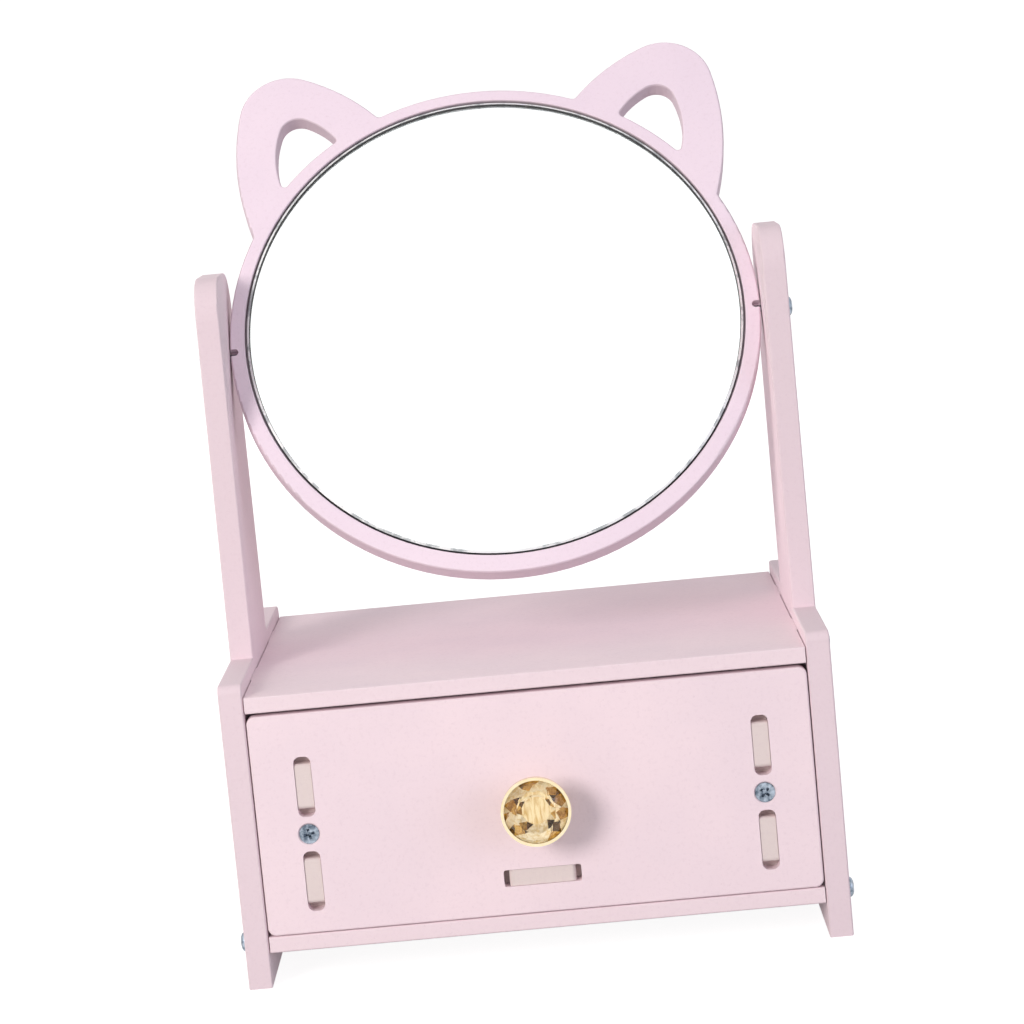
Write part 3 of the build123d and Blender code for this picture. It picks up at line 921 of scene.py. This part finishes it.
@dataclass
class CutStone:
    """The knob's stone: a table, a crown and a foil-backed pavilion, all in flat facets.

    The deals name material numbers: first the flat's, and then those that the facets draw from.
    """

    fold: int = 12
    table_radius: float = 7.2
    crown_middle: float = 0.62
    pavilion_middle: float = 0.4
    girdle: float = 1.0
    crown_height: float = 4.0
    foot_radius: float = 5.2
    turn: float = 15.0
    seed: int = 5
    crown_deal: tuple[int, ...] = (0, 0)
    # the foil tints, painted reflections, are dealt at random to the pavilion's facets
    pavilion_deal: tuple[int, ...] = (1, 2, 2, 3, 3, 4)
    sharp_angle: float = 1.0

    def ring(self, radius: float, height: float, count: int, shift: float) -> list[Vector]:
        """Returns a ring of corners in the stone's own frame.

        Args:
            radius: Its radius.
            height: Its height along the stone's axis.
            count: How many corners it has.
            shift: How many steps of the ring it is turned by.

        Returns:
            The corners.
        """
        turns = [2 * math.pi * (i + shift) / count + math.radians(self.turn) for i in range(count)]
        return [mm(radius * math.cos(a), radius * math.sin(a), height) for a in turns]

    def facets(
        self, bm: bmesh.types.BMesh, small: list, girdle: list, share: float, finishes: Sequence[int]
    ) -> None:
        """Cuts the facets between a small ring and the girdle.

        Args:
            bm: The mesh that they join.
            small: The table's corners, or the foot's.
            girdle: The girdle's corners, twice as many.
            share: How far the middle corners lie from the small ring to the girdle.
            finishes: The flat's material number, and then those that the facets are dealt from.
        """
        count = len(small)
        inner = Vector(small[0].co.xy).length
        outer = Vector(girdle[0].co.xy).length
        radius = inner + (outer - inner) * share
        reach = radius * math.cos(math.pi / count)
        height = small[0].co.z + (girdle[0].co.z - small[0].co.z) * (reach - inner) / (outer - inner)
        middle = [bm.verts.new(v) for v in self.ring(radius / MM, height / MM, count, 0.5)]
        faces = [small]
        for k in range(count):
            ahead = (k + 1) % count
            faces.append([small[k], small[ahead], middle[k]])
            faces.append([small[k], middle[k], girdle[2 * k], middle[k - 1]])
            faces.append([middle[k], girdle[2 * k], girdle[2 * k + 1]])
            faces.append([middle[k], girdle[2 * k + 1], girdle[2 * ahead]])
        dealt = random.Random(self.seed)
        for number, corners in enumerate(faces):
            finish = dealt.choice(finishes[1:]) if number else finishes[0]
            bm.faces.new(corners).material_index = finish

    def build(self, finish: CastAcrylic) -> bpy.types.Object:
        """Cuts the stone and puts it in its cup.

        Args:
            finish: What it is made of.

        Returns:
            The new piece.
        """
        low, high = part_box("knob_crystal")
        outer = (high.x - low.x) / 2 / MM
        depth = (high.y - low.y) / MM
        girdle_top = depth - self.crown_height
        bm = bmesh.new()
        table = [bm.verts.new(v) for v in self.ring(self.table_radius, depth, self.fold, 0)]
        foot = [bm.verts.new(v) for v in self.ring(self.foot_radius, 0, self.fold, 0)]
        upper = [bm.verts.new(v) for v in self.ring(outer, girdle_top, 2 * self.fold, 0)]
        lower = [bm.verts.new(v) for v in self.ring(outer, girdle_top - self.girdle, 2 * self.fold, 0)]
        self.facets(bm, table, upper, self.crown_middle, self.crown_deal)
        self.facets(bm, foot, lower, self.pavilion_middle, self.pavilion_deal)
        for i in range(2 * self.fold):
            ahead = (i + 1) % (2 * self.fold)
            bm.faces.new([upper[i], upper[ahead], lower[ahead], lower[i]]).material_index = 0
        bmesh.ops.recalc_face_normals(bm, faces=bm.faces)
        mesh = bpy.data.meshes.new("cut_stone")
        bm.to_mesh(mesh)
        bm.free()
        middle = (low + high) / 2
        mesh.transform(
            Matrix.Translation((middle.x, high.y, middle.z)) @ Matrix.Rotation(math.radians(90), 4, "X")
        )
        piece = new_piece("cut_stone", mesh, finish.all(), self.sharp_angle)
        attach(piece, "drawer")
        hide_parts("knob_crystal")
        LOG.info("%s on drawer", piece.name)
        return piece


@dataclass
class Cabinet:
    """The box that stands still: its sides with the uprights, shelves, back and screws."""

    board: FoamedBoard
    side_board: FoamedBoard
    zinc: bpy.types.Material
    screw: CrossScrew

    def dress(self) -> None:
        """Gives each board its finish and puts the screws in."""
        sides = self.side_board.material("board_upright", BoardAxis.ACROSS)
        shelves = self.board.material("board_level", BoardAxis.UP)
        back = self.board.material("board_facing", BoardAxis.DEPTH)
        for node, finish in (
            ("left_side_panel", sides),
            ("right_side_panel", sides),
            ("top_panel", shelves),
            ("bottom_panel", shelves),
            ("back_panel", back),
        ):
            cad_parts[node].material_slots[0].material = finish
            LOG.info("%s dressed", node)
        self.screw.fill("left_cabinet_screws", Vector((-1, 0, 0)), "cabinet", self.zinc)
        self.screw.fill("right_cabinet_screws", Vector((1, 0, 0)), "cabinet", self.zinc)


@dataclass
class Drawer:
    """The box that slides out, with its knob."""

    board: FoamedBoard
    inner_board: FoamedBoard
    zinc: bpy.types.Material
    gold: GoldPlate
    stone: CutStone
    acrylic: CastAcrylic
    flat_screw: CrossScrew
    knob_screw: CrossScrew

    def dress(self) -> None:
        """Gives each board its finish and builds the knob and screws."""
        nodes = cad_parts
        facing = self.board.material("board_drawer_front", BoardAxis.DEPTH)
        walls = self.inner_board.material("board_drawer_wall", BoardAxis.ACROSS)
        floor = self.inner_board.material("board_drawer_floor", BoardAxis.UP)
        for node, finish in (
            ("drawer_front", facing),
            ("drawer_back", facing),
            ("drawer_left_wall", walls),
            ("drawer_right_wall", walls),
            ("drawer_floor", floor),
            ("knob_base", self.gold.material()),
            ("knob_washer", self.zinc),
        ):
            nodes[node].material_slots[0].material = finish
            LOG.info("%s dressed", node)
        self.flat_screw.fill("drawer_front_screws", Vector((0, -1, 0)), "drawer", self.zinc)
        self.flat_screw.fill("drawer_back_screws", Vector((0, 1, 0)), "drawer", self.zinc)
        self.knob_screw.fill("knob_screw", Vector((0, 1, 0)), "drawer", self.zinc)
        self.stone.build(self.acrylic)


@dataclass
class TiltingMirror:
    """The round frame with its ears, the glass in it and the screws that it turns on."""

    board: FoamedBoard
    glass: SilveredGlass
    tape: FoamTape
    zinc: bpy.types.Material
    pivot_screw: CrossScrew
    lean: float = 30.0
    thickness: float = 2.5
    bevel: float = 0.85
    bevel_drop: float = 0.5
    # the dark lap on the front's outer edge is painted shade of the gap between glass and frame
    painted_gap_shade_lap: float = 0.15
    # a dark unsilvered rim on the back: partly a real painted back, and partly a painted reflection, its ring
    # through the glass standing in for the ground edge reflected in the silver
    silver_margin: float = 1.3
    glue_gap: float = 0.05
    inner_ring: float = 0.5
    # the dark sealing band on the lap and side is painted shade of the gap between glass and frame
    band_finishes: tuple[int, ...] = (0, 0, 2, 3, 3, 3, 1, 1)  # clear, ground, painted, silvered
    sides: int = 192
    sharp_angle: float = 20.0

    def plate(self) -> bpy.types.Object:
        """Makes the mirror glass: polished front, ground edge, silvered and painted back, with a dark lap
        round the edge as painted shade of the gap in the frame.

        Returns:
            The new piece.
        """
        low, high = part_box("mirror_glass")
        radius = (high.x - low.x) / 2 / MM
        tilt = Matrix.Rotation(math.radians(90 - self.lean), 3, "X")
        out, rise = tilt @ Vector((0, 0, 1)), tilt @ Vector((0, 1, 0))
        places = [v.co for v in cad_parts["mirror_glass"].data.vertices]
        front = max(place.dot(out) for place in places) - mm(self.thickness) / 2
        heights = [place.dot(rise) for place in places]
        middle = out * front + rise * (min(heights) + max(heights)) / 2
        half = self.thickness / 2
        back = half - self.glue_gap
        drop = half - self.bevel_drop
        profile = [
            (radius * self.inner_ring, half), (radius - self.painted_gap_shade_lap - self.bevel, half),
            (radius - self.painted_gap_shade_lap, drop), (radius, drop - self.painted_gap_shade_lap), (radius, -back),
            (radius - self.silver_margin, -back), (radius * self.inner_ring, -back),
        ]
        turns = [2 * math.pi * i / self.sides for i in range(self.sides)]
        rings = [[mm(0, 0, half)]]
        rings += [[mm(r * math.cos(a), r * math.sin(a), z) for a in turns] for r, z in profile]
        rings += [[mm(0, 0, -back)]]
        mesh = ring_mesh("mirror_plate", rings, lambda band: self.band_finishes[band])
        mesh.transform(Matrix.Translation(middle) @ tilt.to_4x4())
        finish = [self.glass.clear(), self.glass.silvering(), self.glass.ground(), self.glass.painted()]
        piece = new_piece("mirror_plate", mesh, finish, self.sharp_angle)
        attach(piece, "mirror")
        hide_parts("mirror_glass")
        LOG.info("%s on mirror", piece.name)
        return piece

    def dress(self) -> None:
        """Gives the frame and washers their finish and builds the glass and screws."""
        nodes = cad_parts
        facing = self.board.material("board_mirror_frame", BoardAxis.DEPTH, self.lean)
        for node, finish in (
            ("mirror_frame", facing),
            ("mirror_adhesive", self.tape.material()),
            ("left_pivot_washer", self.zinc),
            ("right_pivot_washer", self.zinc),
        ):
            nodes[node].material_slots[0].material = finish
            LOG.info("%s dressed", node)
        self.pivot_screw.fill("left_pivot_screw", Vector((-1, 0, 0)), "mirror", self.zinc)
        self.pivot_screw.fill("right_pivot_screw", Vector((1, 0, 0)), "mirror", self.zinc)
        self.plate()


@dataclass(frozen=True)
class SoftBox:
    """A square lamp: where it hangs and its side, in millimetres, and its power and colour."""

    name: str
    place: tuple[float, float, float]
    size: float
    watts: float
    tint: str


@dataclass
class Studio:
    """The room round the object: a seamless paper bowl, soft lamps, the sky and the camera."""

    paper: BackdropPaper
    floor_radius: float = 2200.0
    wall_round: float = 1300.0
    wall_height: float = 1900.0
    wall_steps: int = 12
    floor_steps: tuple[float, ...] = (0.25, 0.6, 1.0)
    sides: int = 96
    sharp_angle: float = 60.0
    lamp_aim: tuple[float, float, float] = (0.0, 0.0, 150.0)
    lamps: tuple[SoftBox, ...] = (
        SoftBox("key", (-1150.0, -1600.0, 760.0), 700.0, 24.5, "#FFF9F5"),
        SoftBox("fill", (1800.0, -1450.0, 300.0), 1400.0, 15.0, "#E6EAFF"),
        SoftBox("back", (-500.0, 2000.0, 220.0), 1200.0, 9.0, "#FFFFFF"),
    )
    sky_low: str = "#8E8A8C"
    sky_high: str = "#FFFFFF"
    sky_climb: tuple[float, float] = (0.3, 0.55)
    sky_power: tuple[float, float] = (1.25, 0.55)  # to the eye and polish, and to matt surfaces
    camera_place: tuple[float, float, float] = (21.7, -1208.1, 323.6)
    camera_aim: tuple[float, float, float] = (0.0, 0.0, 156.6)
    camera_roll: float = 5.46
    lens: float = 111.76
    sensor: float = 36.0
    near_clip: float = 10.0

    def backdrop(self) -> None:
        """Makes the floor, which curves up to a wall all round."""
        turns = [2 * math.pi * i / self.sides for i in range(self.sides)]
        profile = [(self.floor_radius * part, 0.0) for part in self.floor_steps]
        for i in range(1, self.wall_steps + 1):
            bend = math.pi / 2 * i / self.wall_steps
            across = self.floor_radius + self.wall_round * math.sin(bend)
            profile.append((across, self.wall_round * (1 - math.cos(bend))))
        profile.append((self.floor_radius + self.wall_round, self.wall_height))
        bm = bmesh.new()
        centre = bm.verts.new((0, 0, 0))
        rows = [[bm.verts.new(mm(r * math.cos(a), r * math.sin(a), z)) for a in turns] for r, z in profile]
        for i in range(self.sides):
            ahead = (i + 1) % self.sides
            bm.faces.new([centre, rows[0][i], rows[0][ahead]])
            for low, high in zip(rows, rows[1:]):
                bm.faces.new([low[i], high[i], high[ahead], low[ahead]])
        mesh = bpy.data.meshes.new("backdrop")
        bm.to_mesh(mesh)
        bm.free()
        new_piece("backdrop", mesh, [self.paper.material()], self.sharp_angle)

    def hang(self, lamp: SoftBox) -> None:
        """Hangs one lamp, pointed at the object.

        Args:
            lamp: The lamp.
        """
        light = bpy.data.lights.new(lamp.name, "AREA")
        light.shape = "SQUARE"
        light.size = mm(lamp.size)
        light.energy = lamp.watts
        light.color = linear(lamp.tint)[:3]
        hung = bpy.data.objects.new(lamp.name, light)
        hung.location = mm(*lamp.place)
        sight = mm(*self.lamp_aim) - mm(*lamp.place)
        hung.rotation_euler = sight.to_track_quat("-Z", "Y").to_euler()
        bpy.context.scene.collection.objects.link(hung)

    def sky(self) -> None:
        """Makes the room's light: white overhead and greyer near the floor, softer on matt surfaces."""
        world = bpy.data.worlds.new("studio_sky")
        world.use_nodes = True
        tree = world.node_tree
        tree.nodes.clear()
        coord = add(tree, "ShaderNodeTexCoord", {}, {})
        split = add(tree, "ShaderNodeSeparateXYZ", {}, {0: coord.outputs["Generated"]})
        climb = add(
            tree, "ShaderNodeMapRange", {"interpolation_type": "SMOOTHSTEP"},
            {"Value": split.outputs[2], **taken(self.sky_climb)},
        )
        tint = add(
            tree, "ShaderNodeMix", {"data_type": "RGBA"},
            {0: climb.outputs[0], 6: linear(self.sky_low), 7: linear(self.sky_high)},
        )
        path = add(tree, "ShaderNodeLightPath", {}, {})
        power = add(
            tree, "ShaderNodeMapRange", {},
            {"Value": path.outputs["Is Diffuse Ray"], **given(self.sky_power)},
        )
        shine = add(
            tree, "ShaderNodeBackground", {}, {"Color": tint.outputs[2], "Strength": power.outputs[0]}
        )
        out = add(tree, "ShaderNodeOutputWorld", {}, {"Surface": shine.outputs[0]})
        tree.nodes.active = out
        bpy.context.scene.world = world

    def camera(self) -> None:
        """Stands the camera where the photograph was taken from."""
        lens = bpy.data.cameras.new("photo_camera")
        lens.lens = self.lens
        lens.sensor_width = self.sensor
        lens.clip_start = mm(self.near_clip)
        camera = bpy.data.objects.new("photo_camera", lens)
        place, aim = mm(*self.camera_place), mm(*self.camera_aim)
        look = (aim - place).to_track_quat("-Z", "Y").to_matrix().to_4x4()
        roll = Matrix.Rotation(math.radians(-self.camera_roll), 4, "Z")
        camera.matrix_world = Matrix.Translation(place) @ look @ roll
        bpy.context.scene.collection.objects.link(camera)
        bpy.context.scene.camera = camera

    def build(self) -> None:
        """Sets up the whole room."""
        self.backdrop()
        self.sky()
        for lamp in self.lamps:
            self.hang(lamp)
        self.camera()
        bpy.context.scene.view_settings.view_transform = "Standard"
        LOG.info("studio ready")


def main() -> None:
    """Builds the looks, one sub-assembly after another, and notes both boxes."""
    logging.basicConfig(level=logging.INFO, format="%(message)s")
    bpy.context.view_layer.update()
    board = FoamedBoard()
    # the frame's darker edge colour is painted shade on its cut edges: the rim, the pocket wall and the ear
    # holes' walls
    frame_board = FoamedBoard(skin="#F4E1ED", skin_cloud="#F0DDEA", edge="#DECBD5")
    side_board = FoamedBoard(edge="#E7D3DA")
    cut_ends = FoamedBoard(edge="#E2D3D0")
    zinc = ZincPlate().material()
    cabinet_screw = CrossScrew(
        HeadStyle.PAN, head_radius=3.8, head_height=2.1, shank_radius=1.5, core_radius=1.05,
        length=20.0, pitch=1.4, point_length=3.0,
    )
    drawer_screw = CrossScrew(
        HeadStyle.FLAT, head_radius=3.7, head_height=0.0, shank_radius=1.5, core_radius=1.05,
        length=21.0, pitch=1.4, point_length=3.0,
    )
    pivot_screw = CrossScrew(
        HeadStyle.PAN, head_radius=4.0, head_height=2.4, shank_radius=1.5, core_radius=1.15,
        length=21.05, pitch=1.2, point_length=3.0,
    )
    knob_screw = CrossScrew(
        HeadStyle.PAN, head_radius=3.9, head_height=2.4, shank_radius=2.0, core_radius=1.65,
        length=13.3, pitch=0.7, point_length=0.0,
    )
    Cabinet(board, side_board, zinc, cabinet_screw).dress()
    Drawer(
        board, cut_ends, zinc, GoldPlate(), CutStone(), CastAcrylic(), drawer_screw, knob_screw
    ).dress()
    TiltingMirror(frame_board, SilveredGlass(), FoamTape(), zinc, pivot_screw).dress()
    Studio(BackdropPaper()).build()


if __name__ == "__main__":
    main()
